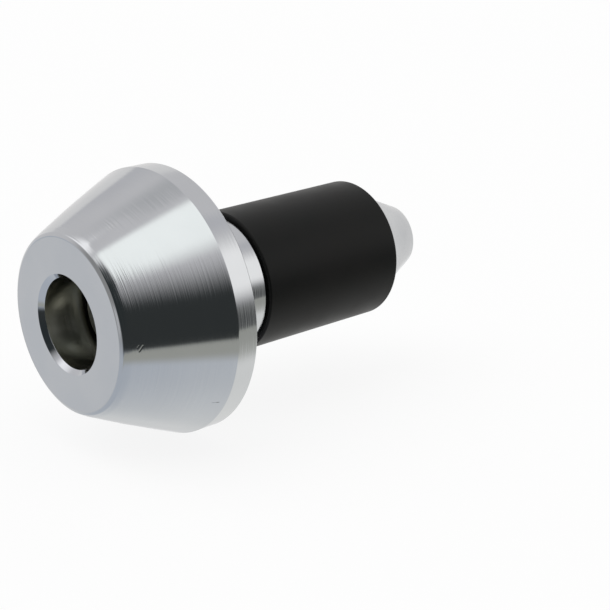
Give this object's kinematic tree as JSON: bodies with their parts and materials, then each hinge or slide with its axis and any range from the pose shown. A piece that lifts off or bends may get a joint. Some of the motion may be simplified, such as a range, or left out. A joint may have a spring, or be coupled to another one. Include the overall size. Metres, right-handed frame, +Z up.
{
  "type": "bar end weight",
  "caption": "Turned metal bar end weight with a conical flank and rim, a recessed socket screw, and a rubber sleeve that a cone nut squeezes to grip the inside of a handlebar tube.",
  "frame": {"origin": "on the turning axis, in the plane of the head's rear shoulder, where the end of the handlebar tube butts", "axes": "+Y along the turning axis from the front face towards the tail that goes into the tube, +Z up, +X to the right seen from the front"},
  "size_m": [0.034, 0.0544, 0.034],
  "materials": {
    "turned_aluminium": "bright turned and polished",
    "screw_steel": "plain steel, slightly dull",
    "black_rubber": "matte moulded rubber",
    "nut_aluminium": "plain turned"
  },
  "bodies": {
    "root": {"weight_head": "turned_aluminium", "clamp_screw": "screw_steel", "rubber_sleeve": "black_rubber", "cone_nut": "nut_aluminium"}
  },
  "joints": []
}
